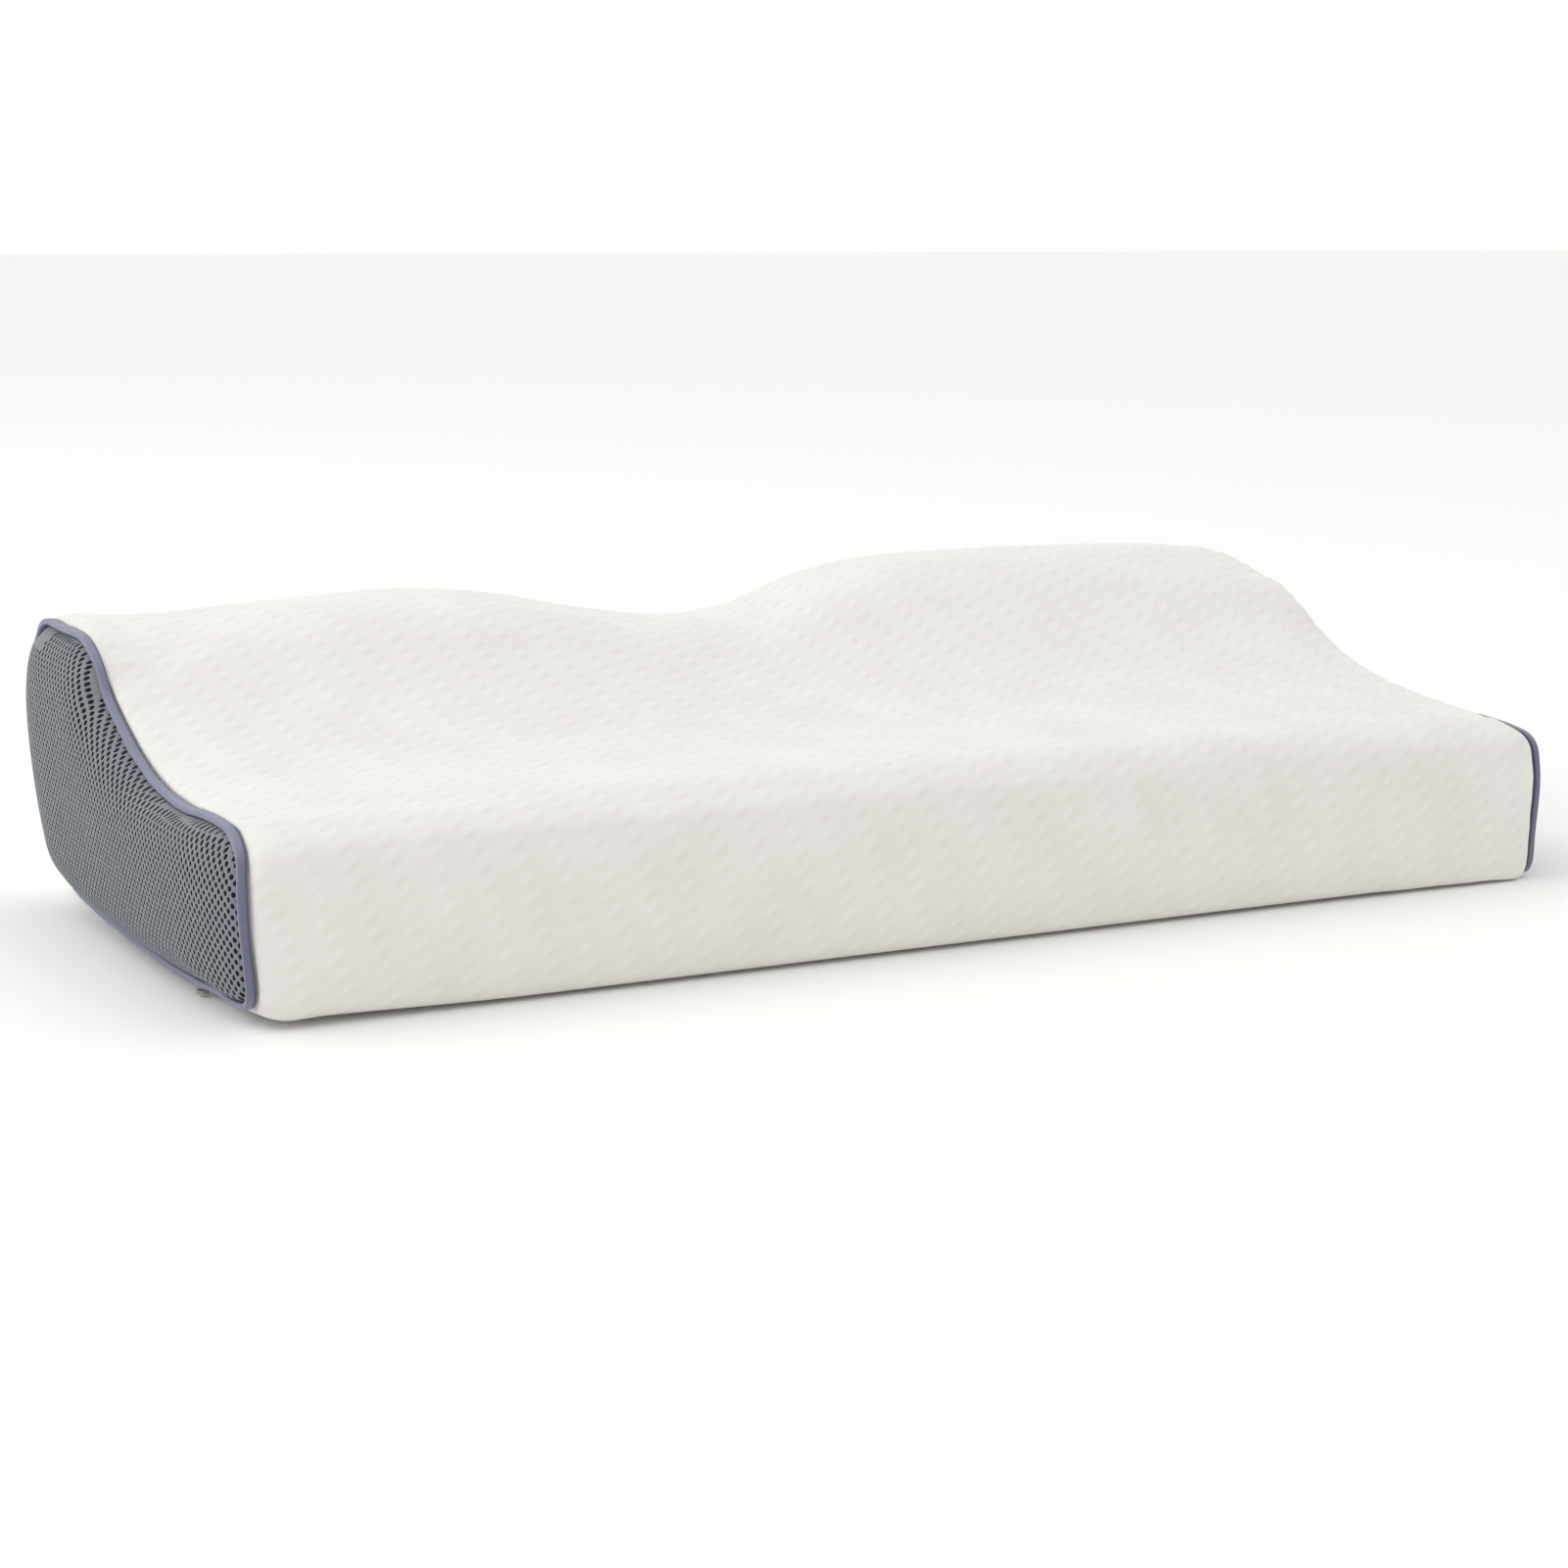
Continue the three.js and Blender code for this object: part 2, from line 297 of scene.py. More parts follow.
def startMaterial(name):
    material = bpy.data.materials.new(name)
    material.use_nodes = True
    tree = material.node_tree
    tree.nodes.clear()
    shader = addNode(tree, "ShaderNodeBsdfPrincipled")
    addNode(tree, "ShaderNodeOutputMaterial", links={"Surface": shader.outputs["BSDF"]})
    return material, tree, shader


def finishMaterial(tree, shader, colours, share, bump, settings):
    # one colour turns into the other by the share; the settings are the same all over
    colour = addNode(tree, "ShaderNodeMix",
                     {"data_type": "RGBA", 6: linear(colours[0]), 7: linear(colours[1])}, {0: share})
    tree.links.new(colour.outputs[2], shader.inputs["Base Color"])
    if bump:
        tree.links.new(bump.outputs["Normal"], shader.inputs["Normal"])
    for name, value in settings.items():
        shader.inputs[name].default_value = value


knit = {
    "base": "#eeedea",
    "hollowPaintedShade": "#e2e0dc",       # painted shade in the grooves beside the puffs
    "roughness": 0.92,
    "sheen": 0.08,
    "sheenRoughness": 0.6,
    "puffAcross": 16.5,        # from puff to puff along a row
    "puffRows": 7.0,           # from row to row
    "puffShift": -2.06,        # each row further back starts this much over
    "puffLength": 9.2,
    "puffWidth": 3.5,
    "puffSlant": 38,           # degrees above the pillow's length
    "puffHeight": 0.42,
    "puffPaintedLight": 0.35,          # share of the way from the grooves' painted shade to the base colour that a puff adds, as painted light
    "puffEdge": 1.6,           # how sharply a puff falls away
    "groove": 0.7,             # depth of the tucked groove along it, as a share of its height
    "grooveAside": 1.4,        # its distance from the puff's middle, in half widths
    # The rows run a little out of line, as stretched knit does, in waves along the pillow and
    # round it: how far, turn per mm of length, turn per mm of girth, start.
    "driftAlong": [(0.9, 0, 0.045, 0.6), (0.45, 0.02, 0.13, 0)],
    "driftRound": [(0.9, 0.037, 0, 0), (0.45, 0.11, 0.03, 0)],
    "loopPitch": 1.9,          # real knit loops are 0.9 mm apart; drawn coarser, to show
    "loopRelief": 0.05,
    "fluffRelief": 0.12,
}


def jacquardKnit():
    # polyester double knit with small tucked puffs: matt, soft, a little sheen where it turns away; its
    # puffs painted lighter and its grooves darker, as painted light and shade
    material, tree, shader = startMaterial("white_jacquard_knit")
    place = addNode(tree, "ShaderNodeUVMap", {"uv_map": "cloth"})
    inMm = addNode(tree, "ShaderNodeVectorMath", {"operation": "SCALE", "Scale": 1 / mm},
                   {0: place.outputs["UV"]}).outputs["Vector"]
    rows = []
    for direction, stretch in (("X", 1.0), ("Y", 1.25)):
        rows.append(addNode(tree, "ShaderNodeTexWave", {
            "wave_type": "BANDS", "bands_direction": direction, "wave_profile": "SIN",
            "Scale": waveScale / knit["loopPitch"] * stretch,
            "Distortion": 2.5, "Detail": 2, "Detail Scale": 1.5,
        }, {"Vector": inMm}))
    loops = addNode(tree, "ShaderNodeMath", {"operation": "MULTIPLY"},
                    {0: rows[0].outputs["Fac"], 1: rows[1].outputs["Fac"]})
    loopBump = addNode(tree, "ShaderNodeBump",
                       {"Strength": 1.0, "Distance": knit["loopRelief"] * mm},
                       {"Height": loops.outputs["Value"]})
    fluff = addNode(tree, "ShaderNodeTexNoise", {"Scale": 0.45, "Detail": 5, "Roughness": 0.7},
                    {"Vector": inMm})
    fluffBump = addNode(tree, "ShaderNodeBump",
                        {"Strength": 1.0, "Distance": knit["fluffRelief"] * mm},
                        {"Height": fluff.outputs["Fac"], "Normal": loopBump.outputs["Normal"]})
    # painted light and shade: the puffs' relief makes the colour lighter on them and darker in their
    # grooves; the patches add random tone
    puff = addNode(tree, "ShaderNodeAttribute", {"attribute_name": "puff"})
    patches = addNode(tree, "ShaderNodeTexNoise", {"Scale": 0.03, "Detail": 2}, {"Vector": inMm})
    puffLightAndPatches = addNode(tree, "ShaderNodeMath", {"operation": "MULTIPLY_ADD", 1: knit["puffPaintedLight"]},
                     {0: puff.outputs["Fac"], 2: patches.outputs["Fac"]})
    finishMaterial(tree, shader, (knit["hollowPaintedShade"], knit["base"]), puffLightAndPatches.outputs["Value"], fluffBump,
                   {"Roughness": knit["roughness"], "Sheen Weight": knit["sheen"],
                    "Sheen Roughness": knit["sheenRoughness"]})
    return material


meshCloth = {
    "rib": "#858b91",
    "ribShade": "#686e75",
    # painted shade: these near-black colours on the holes' walls and floors stand in for the shade down
    # them
    "pitPaintedShade": "#20252a",
    "pitShade": "#15191d",
    "roughness": 0.78,
    "pitRoughness": 0.85,
    "sheen": 0.1,
    "pitchDeep": 3.9,          # from hole to hole, front to back
    "pitchHigh": 4.2,          # and up; every other column is half a step over
    "holeDeep": 2.05,
    "holeLean": 18,            # degrees that the holes lean forwards at their lower end
    "holeHigh": 2.55,
    "holePoints": 10,
    "holeUneven": 0.03,        # spread of the holes' sizes, as a share
    "unevenMost": 0.1,         # and the most of it
    "holeStray": 0.04,         # and of their places
    "lipDrop": 0.16,           # the rib's round shoulder, down to the hole's wall
    "lipWidth": 0.15,
    "pitDepth": 1.5,
    "pitTaper": 0.94,          # width of a pit's floor, as a share of its mouth
    "plainRim": 0.15,          # closed cloth between the tape and the first holes
    "smallestHole": 0.32,      # a hole cut off by the seam shows down to this share of its size
    "hemFrom": (97, 108.5),    # behind and above this place the cloth is turned in, without holes
    "tuck": 2.0,               # the cloth dives into its seam by this much
    "tuckWidth": 2.3,
    "backing": 0.3,            # cloth left under the deepest pit
    "thickness": 2.7,
    "edgeStep": 2.0,
    "yarnPitch": 0.9,          # real yarns are 0.3 mm apart; drawn coarser, to show
    "unrollSteps": 600,        # along each line from the middle of an end to its edge
    "unrollLines": 60,         # from the shortest of these lines to the longest
    "unrollSpare": 1,
    "seed": 20,
}


def spacerMesh():
    # warp-knitted polyester spacer cloth: smooth matt ribs, with a slight gloss on the yarns
    material, tree, shader = startMaterial("grey_spacer_mesh")
    place = addNode(tree, "ShaderNodeTexCoord")
    inMm = addNode(tree, "ShaderNodeVectorMath", {"operation": "SCALE", "Scale": 1 / mm},
                   {0: place.outputs["Object"]}).outputs["Vector"]
    yarns = addNode(tree, "ShaderNodeTexWave", {
        "wave_type": "BANDS", "bands_direction": "Y", "wave_profile": "SIN",
        "Scale": waveScale / meshCloth["yarnPitch"],
        "Distortion": 4, "Detail": 2, "Detail Scale": 0.6,
    }, {"Vector": inMm})
    mottle = addNode(tree, "ShaderNodeTexNoise", {"Scale": 0.6, "Detail": 3}, {"Vector": inMm})
    tone = addNode(tree, "ShaderNodeMath", {"operation": "MULTIPLY"},
                   {0: yarns.outputs["Fac"], 1: mottle.outputs["Fac"]})
    bump = addNode(tree, "ShaderNodeBump", {"Strength": 0.7, "Distance": 0.12 * mm},
                   {"Height": yarns.outputs["Fac"]})
    finishMaterial(tree, shader, (meshCloth["rib"], meshCloth["ribShade"]), tone.outputs["Value"], bump,
                   {"Roughness": meshCloth["roughness"], "Sheen Weight": meshCloth["sheen"]})
    return material


def spacerDepth():
    # the same cloth's inner threads, seen down its holes: rough, their near-black colour painted shade,
    # deep in the holes
    material, tree, shader = startMaterial("spacer_threads_painted_shade")
    place = addNode(tree, "ShaderNodeTexCoord")
    inMm = addNode(tree, "ShaderNodeVectorMath", {"operation": "SCALE", "Scale": 1 / mm},
                   {0: place.outputs["Object"]}).outputs["Vector"]
    threads = addNode(tree, "ShaderNodeTexNoise", {"Scale": 1.4, "Detail": 3}, {"Vector": inMm})
    bump = addNode(tree, "ShaderNodeBump", {"Strength": 0.6, "Distance": 0.2 * mm},
                   {"Height": threads.outputs["Fac"]})
    finishMaterial(tree, shader, (meshCloth["pitShade"], meshCloth["pitPaintedShade"]), threads.outputs["Fac"],
                   bump, {"Roughness": meshCloth["pitRoughness"]})
    return material


tape = {
    "base": "#878aa0",
    "shade": "#4a4c62",        # painted shade, down in its folds
    "frontFacingShade": 0.45,           # share of that painted shade on its outer side, where it faces forwards down the front
    "mottle": 0.2,
    "roughness": 0.72,
    "sheen": 0.15,
    "thickness": 2.4,
    "width": 3.6,              # how far it stands out from the end
    "edgeRound": 0.6,
    "roundPoints": 4,
    # The foot of the tape, on the cover's side and on the mesh's side: across it in half
    # thicknesses, out from the end, and how much painted shade it takes in its fold.
    "outerFoot": [(-0.75, 0, 1.0), (-1, 0.4, 1.0), (-1, 0.75, 0.2)],
    "innerFoot": [(1, 1.3, 0.3), (1, 0.5, 1.0), (0.5, 0, 1.0)],
    "gap": 0.3,
    "step": 1.6,
    "mapStep": 0.8,            # on the flat tape, from point to point of its section
    # Waves of its width along the seam: share of the width, turn per mm, start.
    "waver": [(0.035, 0.21, 1), (0.03, 0.083, 2)],
    "ribPitch": 1.2,           # real cross ribs are 0.5 mm apart; drawn coarser, to show
    "stitch": 2.6,
    "stitchGap": 0.9,
    "stitchThick": 0.4,
    "stitchShape": (0.35, 0.9, 1, 0.9, 0.35),   # share of that thickness, from end to end
    "stitchSides": 6,
    "stitchSunk": 0.05,        # how far its middle lies in the tape
    "stitchOut": 2.2,          # height of the stitch row on the tape's inner face
    "thread": "#777a8f",
    "threadLight": "#8b8ea4",
    "threadRoughness": 0.7,
}


def wovenTape():
    # woven polyester binding with fine cross ribs: satin, with painted shade along its folded edges and
    # down its outer side at the front
    material, tree, shader = startMaterial("violet_grey_tape")
    place = addNode(tree, "ShaderNodeUVMap", {"uv_map": "cloth"})
    inMm = addNode(tree, "ShaderNodeVectorMath", {"operation": "SCALE", "Scale": 1 / mm},
                   {0: place.outputs["UV"]}).outputs["Vector"]
    ribs = addNode(tree, "ShaderNodeTexWave", {
        "wave_type": "BANDS", "bands_direction": "X", "wave_profile": "SIN",
        "Scale": waveScale / tape["ribPitch"], "Distortion": 0.8, "Detail": 1,
    }, {"Vector": inMm})
    mottle = addNode(tree, "ShaderNodeTexNoise", {"Scale": 0.22, "Detail": 3}, {"Vector": inMm})
    # painted shade: the tape turns towards its shade colour in its folds and down the front of its
    # outer side
    foldShade = addNode(tree, "ShaderNodeAttribute", {"attribute_name": "foldShade"})
    tone = addNode(tree, "ShaderNodeMath", {"operation": "MULTIPLY_ADD", 1: tape["mottle"]},
                   {0: mottle.outputs["Fac"], 2: foldShade.outputs["Fac"]})
    bump = addNode(tree, "ShaderNodeBump", {"Strength": 0.6, "Distance": 0.1 * mm},
                   {"Height": ribs.outputs["Fac"]})
    finishMaterial(tree, shader, (tape["base"], tape["shade"]), tone.outputs["Value"], bump,
                   {"Roughness": tape["roughness"], "Sheen Weight": tape["sheen"]})
    return material


def sewingThread():
    # spun polyester thread: matt and fibrous, a shade darker than the tape
    material, tree, shader = startMaterial("slate_sewing_thread")
    place = addNode(tree, "ShaderNodeTexCoord")
    twist = addNode(tree, "ShaderNodeTexNoise", {"Scale": 900, "Detail": 2},
                    {"Vector": place.outputs["Object"]})
    finishMaterial(tree, shader, (tape["thread"], tape["threadLight"]), twist.outputs["Fac"], None,
                   {"Roughness": tape["threadRoughness"]})
    return material


pull = {
    "paint": "#c9c3b6",
    "rubbed": "#7f7b74",       # where the paint has worn
    "roughness": 0.45,
    "metallic": 0.15,
    "length": 4.5,
    "width": 4.5,
    "thickness": 1.4,
    "place": (-299.8, -77, 1),     # middle of its inner end, just under the seam
    "edge": 0.3,               # rounding of its rim
    "dish": 0.42,              # share of its width that is sunk in
    "dishDepth": 0.5,
    "tipSteps": 17,            # points round its tip
}


def paintedZinc():
    # small die-cast pull with a worn satin paint: smooth, greyer where the paint has rubbed
    material, tree, shader = startMaterial("painted_zinc_pull")
    place = addNode(tree, "ShaderNodeTexCoord")
    rubbed = addNode(tree, "ShaderNodeTexNoise", {"Scale": 650, "Detail": 3},
                     {"Vector": place.outputs["Object"]})
    bump = addNode(tree, "ShaderNodeBump", {"Strength": 0.3, "Distance": 0.05 * mm},
                   {"Height": rubbed.outputs["Fac"]})
    finishMaterial(tree, shader, (pull["rubbed"], pull["paint"]), rubbed.outputs["Fac"], bump,
                   {"Roughness": pull["roughness"], "Metallic": pull["metallic"]})
    return material


knitMaterial, meshMaterial, depthMaterial = jacquardKnit(), spacerMesh(), spacerDepth()
tapeMaterial, threadMaterial, pullMaterial = wovenTape(), sewingThread(), paintedZinc()
print("materials made")


body = {
    "stepAlong": knit["puffAcross"] / 8,
    "stepRound": knit["puffRows"] / 4,
    "stepUnder": 7.0,
    "sparserOver": (-0.6, 0.2),    # in knots from "underside back", where that step takes over
    "closerOver": (0, 0.6),        # in knots from "underside toe", where it ends
    "cornerSteps": 9,
    "domeRings": (1, 0.86, 0.62, 0.32),   # on an end face, as shares of its size
    "coarser": 3,              # the cloth simulation runs on every third point each way
    "startSmaller": 1.6,       # the cover starts this far inside its final place, and swells out
    "startOver": 5,            # rows of points over which that fades in from the seam
    "heldBelow": 2,
    "pressure": 4,
    "tension": 60,
    "bending": 2,
    "clothMass": 0.3,
    "clothSteps": 5,
    "frames": 20,
    "cap": 3.2,                # furthest that a point may swell
    "evenings": 3,             # times the swell is evened out between its points
    "seamTuck": 1.0,           # the cover is drawn in under the tape
    "pucker": 0.22,            # gathers where it is sewn to the end
    "puckerPitch": 21,
    "puckerSecond": 1.62,      # a second wave of gathers, so many times as close
    "puckerReach": 15,         # how far from the seam they fade
    # Where things fade in round the corner from the end seam (0) to the long faces (1).
    "puffsFrom": (0.55, 1.0),
    "puckerFrom": (0.1, 0.8),
    "tuckUpTo": (0, 0.35),
    "reliefFrom": (0.5, 8),    # height above the floor over which all relief fades in
}


def bodyStations():
    # places along the pillow, and how far each has turned from the end seam (0) to the long faces (1)
    corner = np.linspace(0, math.pi / 2, body["cornerSteps"] + 1)
    cornerX = endX - pillow["cornerLength"] * (1 - np.cos(corner))
    reach = endX - pillow["cornerLength"]
    count = 2 * math.floor(reach / body["stepAlong"])
    main = np.linspace(-reach, reach, count + 1)[1:-1]
    x = np.concatenate([-cornerX, main, cornerX[::-1]])
    turn = np.concatenate([np.sin(corner), np.ones(len(main)), np.sin(corner)[::-1]])
    return x, turn


def puffRelief(u, v):
    # height of the knit's puffs at a place on the cloth: 1 on a puff, less than nothing in its groove
    row = np.round(v / knit["puffRows"])
    step = (u - row * knit["puffShift"]) / knit["puffAcross"]
    a = (step - np.round(step)) * knit["puffAcross"]
    b = v - row * knit["puffRows"]
    slant = math.radians(knit["puffSlant"])
    long = (a * math.cos(slant) + b * math.sin(slant)) / (knit["puffLength"] / 2)
    wide = (b * math.cos(slant) - a * math.sin(slant)) / (knit["puffWidth"] / 2)
    across = np.exp(-knit["puffEdge"] * wide ** 2)
    across -= knit["groove"] * np.exp(-knit["puffEdge"] * (wide + knit["grooveAside"]) ** 2)
    return np.exp(-knit["puffEdge"] * long ** 4) * across


def closeEdge(points, faces, edge, rings, middle):
    # closes a hole in a mesh, from the points of its edge, by rings that shrink onto a middle point
    total = sum(len(each) for each in points)
    for ring in rings:
        inner = np.arange(len(edge)) + total
        quads = np.stack([edge, np.roll(edge, -1), np.roll(inner, -1), inner], axis=1)
        faces += quads.tolist()
        points.append(ring)
        edge = inner
        total += len(edge)
    points.append(np.array([middle]))
    faces += np.stack([edge, np.roll(edge, -1), np.full(len(edge), total)], axis=1).tolist()


def gridMesh(name, grid, caps, material):
    # a grid of points in closed rows, with a cap on its first and last row
    rows, columns = grid.shape[:2]
    points, faces = [grid.reshape(-1, 3)], ringFaces(rows, columns)
    for row, rings, middle in caps:
        closeEdge(points, faces, np.arange(columns) + row * columns, rings, middle)
    return faceOutwards(makeMesh(name, np.concatenate(points), faces, material))


def domeRings(side, at, offset):
    # rings of a swollen end face, from its edge to near its middle, and its middle point
    edge = inset(endSeam(side, at), tape["thickness"] / 2 + tape["gap"])
    centre = np.array(pillow["endCentre"], float)
    rings = []
    for fraction in (*body["domeRings"], 0):
        place = (edge - centre) * fraction + centre
        dome = pillow["fillBulge"] * (1 - fraction ** pillow["domeSquareness"])
        out = seamSwell(side, *place.T) + offset + dome
        rings.append(np.concatenate([(side * (endX + out))[:, None], place], axis=1))
    return rings[:-1], rings[-1][0]


def simulateSwell(grid, normals):
    # the cover as a pressurised cloth, held at its end seams and underneath
    # returns how far each point swells
    rows, columns = grid.shape[:2]
    fromEnd = np.minimum(np.arange(rows), np.arange(rows)[::-1])
    inside = body["startSmaller"] * smoothStep(fromEnd, 0, body["startOver"])
    start = grid - normals * inside[:, None, None]
    ends = [(row, [], start[row].mean(axis=0)) for row in (0, rows - 1)]
    cloth = gridMesh("cover_simulation", start, ends, knitMaterial)
    held = cloth.vertex_groups.new(name="held")
    firm = grid[:, :, 2] < body["heldBelow"]
    firm[[0, -1]] = True
    endMiddles = [rows * columns, rows * columns + 1]
    held.add(np.flatnonzero(firm).tolist() + endMiddles, 1, "REPLACE")
    modifier = cloth.modifiers.new("swell", "CLOTH")
    settings = modifier.settings
    settings.quality = body["clothSteps"]
    settings.mass = body["clothMass"]
    settings.tension_stiffness = settings.compression_stiffness = body["tension"]
    settings.shear_stiffness = body["tension"] / 2
    settings.bending_stiffness = body["bending"]
    settings.use_pressure = True
    settings.uniform_pressure_force = body["pressure"]
    settings.effector_weights.gravity = 0
    settings.vertex_group_mass = "held"
    modifier.collision_settings.use_collision = False
    scene.frame_start, scene.frame_end = 1, body["frames"]
    modifier.point_cache.frame_start, modifier.point_cache.frame_end = 1, body["frames"]
    for frameNumber in range(1, body["frames"] + 1):
        scene.frame_set(frameNumber)
    evaluated = cloth.evaluated_get(bpy.context.evaluated_depsgraph_get()).to_mesh()
    moved = np.zeros(len(evaluated.vertices) * 3)
    evaluated.vertices.foreach_get("co", moved)
    moved = moved.reshape(-1, 3)[:rows * columns].reshape(rows, columns, 3) / mm
    scene.frame_set(1)
    bpy.data.objects.remove(cloth, do_unlink=True)
    out = ((moved - start) * normals).sum(axis=2)
    out = body["cap"] * np.tanh(np.maximum(out, 0) / body["cap"])
    return out - ((grid - start) * normals).sum(axis=2)


def spreadOut(coarse, rows, columns):
    # a coarse grid of values in closed rows, filled in between its points
    wrapped = np.concatenate([coarse, coarse[:, :1]], axis=1)
    coarseRows, coarseColumns = (np.arange(count) for count in wrapped.shape)
    around = np.arange(columns) / body["coarser"]
    byColumn = np.stack([np.interp(around, coarseColumns, line) for line in wrapped])
    along = np.arange(rows) / (rows - 1) * coarseRows[-1]
    full = np.stack([np.interp(along, coarseRows, line) for line in byColumn.T], axis=1)
    for _ in range(body["evenings"]):
        full = (np.roll(full, 1, axis=1) + 2 * full + np.roll(full, -1, axis=1)) / 4
        full[1:-1] = (full[:-2] + 2 * full[1:-1] + full[2:]) / 4
    return full


def clothPlace(x, girth):
    # where a point lies on the flat cloth
    def drift(waves):
        return sum(far * np.sin(x * byX + girth * byGirth + start)
                   for far, byX, byGirth, start in waves)

    return x + drift(knit["driftAlong"]), girth + drift(knit["driftRound"])


x, turn = bodyStations()
sparser = [rowNumber("underside back") + over for over in body["sparserOver"]]
closer = [rowNumber("underside toe") + over for over in body["closerOver"]]
at, girth = alongLine(bodyLine, [
    (0, body["stepRound"]), (sparser[0], body["stepRound"]), (sparser[1], body["stepUnder"]),
    (closer[0], body["stepUnder"]), (closer[1], body["stepRound"]), (knots, body["stepRound"]),
])
whole = len(at) - len(at) % body["coarser"]
at, girth = at[:whole], girth[:whole]
grid = bodyGrid(x, turn, at)
normals = gridNormals(grid)
rows, columns = grid.shape[:2]
print("body grid", rows, "x", columns)

swell = np.zeros((rows, columns))
picked = np.linspace(0, rows - 1, rows // body["coarser"])
picked = np.unique(np.round(picked).astype(int))
few = bodyGrid(x[picked], turn[picked], at[::body["coarser"]])
swell = spreadOut(simulateSwell(few, gridNormals(few)), rows, columns)
print(f"cover swelled, from {swell.min():.2f} to {swell.max():.2f} mm")

offFloor = smoothStep(grid[:, :, 2], *body["reliefFrom"])
awayFromSeam = smoothStep(turn, *body["puffsFrom"])[:, None]
u, v = clothPlace(x[:, None], girth[None, :])
puffs = puffRelief(u, v)
relief = knit["puffHeight"] * puffs * awayFromSeam
gather = girth * 2 * math.pi / body["puckerPitch"]
waves = np.sin(gather) + np.sin(gather * body["puckerSecond"] + 1)
nearSeam = np.exp(-(endX - np.abs(x)) / body["puckerReach"]) * smoothStep(turn, *body["puckerFrom"])
relief += body["pucker"] * nearSeam[:, None] * waves[None, :]
tuck = body["seamTuck"] * (1 - smoothStep(turn, *body["tuckUpTo"]))[:, None]
outwards = swell * smoothStep(turn, 0, 1)[:, None] + relief * offFloor - tuck
shape = grid + normals * outwards[:, :, None]
shape[:, :, 2] = np.maximum(shape[:, :, 2], 0)
caps = [(row, *domeRings(side, at, 0)) for side, row in ((-1, 0), (1, rows - 1))]
cover = gridMesh("pillow_cover", shape, caps, knitMaterial)

gridPoints = rows * columns
flatPlace = np.zeros((len(cover.data.vertices), 2))
flatPlace[:gridPoints] = np.stack([u.ravel(), v.ravel()], axis=1)
clothMap = cover.data.uv_layers.new(name="cloth")
clothMap.data.foreach_set("uv", (flatPlace[cornersOf(cover.data)] * mm).ravel())
# the puffs' relief, which the knit's colour also follows as painted light and shade
puffShade = np.zeros(len(cover.data.vertices))
puffShade[:gridPoints] = puffs.ravel()
cover.data.attributes.new("puff", "FLOAT", "POINT").data.foreach_set("value", puffShade)
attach(cover, "root")
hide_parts("pillow_body")
print("cover:", len(cover.data.polygons), "faces")


def swollenCloth(side, edge):
    # unrolls the cloth over one filled end: gives its flat edge, and a function that turns a flat
    # place on it and a depth below its face into a point
    centre = np.array(pillow["endCentre"], float)
    spoke = edge - centre
    turnAt = np.arctan2(spoke[:, 1], spoke[:, 0])
    reach = np.linalg.norm(spoke, axis=1)
    order = np.argsort(turnAt)
    fraction = np.linspace(0, 1, meshCloth["unrollSteps"])
    rise = np.diff(pillow["fillBulge"] * fraction ** pillow["domeSquareness"])
    spare = meshCloth["unrollSpare"]
    reaches = np.linspace(reach.min() - spare, reach.max() + spare, meshCloth["unrollLines"])
    steps = np.hypot(np.diff(fraction)[None] * reaches[:, None], rise[None])
    lengths = np.concatenate([np.zeros((len(reaches), 1)), np.cumsum(steps, axis=1)], axis=1)
    shares = np.stack([np.interp(fraction, line / line[-1], fraction) for line in lengths])
    flatEdge = centre + spoke * (np.interp(reach, reaches, lengths[:, -1]) / reach)[:, None]

    def pointsAt(place, depth):
        away = place - centre
        flatReach = np.linalg.norm(away, axis=1)
        limit = np.interp(np.arctan2(away[:, 1], away[:, 0]), turnAt[order], reach[order],
                          period=2 * math.pi)
        along = np.clip(flatReach / np.interp(limit, reaches, lengths[:, -1]), 0, 1)
        along = along * (len(fraction) - 1)
        row = (limit - reaches[0]) / (reaches[1] - reaches[0])
        i, j = np.floor(row).astype(int), np.floor(along).astype(int)
        j = np.minimum(j, len(fraction) - 2)
        a, b = row - i, along - j
        share = (1 - a) * ((1 - b) * shares[i, j] + b * shares[i, j + 1])
        share += a * ((1 - b) * shares[i + 1, j] + b * shares[i + 1, j + 1])
        onEnd = centre + away * (limit * share / np.maximum(flatReach, 1e-6))[:, None]
        dome = pillow["fillBulge"] * (1 - share ** pillow["domeSquareness"])
        tuck = meshCloth["tuck"] * np.exp(-(limit * (1 - share) / meshCloth["tuckWidth"]) ** 2)
        deepest = meshCloth["thickness"] - tuck - meshCloth["backing"]
        out = tape["gap"] + meshCloth["thickness"] + dome - tuck - np.minimum(depth, deepest)
        return np.column_stack([side * (endX + seamSwell(side, *onEnd.T) + out), onEnd])

    return flatEdge, pointsAt


def clearOf(edge, place):
    # distance of each place to a closed line, less than nothing outside it
    start, step = edge, np.roll(edge, -1, axis=0) - edge
    to = place[:, None] - start[None]
    share = np.clip((to * step).sum(axis=2) / (step ** 2).sum(axis=1), 0, 1)
    distance = np.linalg.norm(to - share[:, :, None] * step, axis=2).min(axis=1)
    rises = (start[:, 1] > place[:, None, 1]) != (np.roll(start[:, 1], -1) > place[:, None, 1])
    slope = np.where(step[:, 1] == 0, 1, step[:, 1])
    crossing = start[:, 0] + step[:, 0] * (place[:, None, 1] - start[:, 1]) / slope
    inside = (rises & (place[:, None, 0] < crossing)).sum(axis=1) % 2 == 1
    return np.where(inside, distance, -distance)


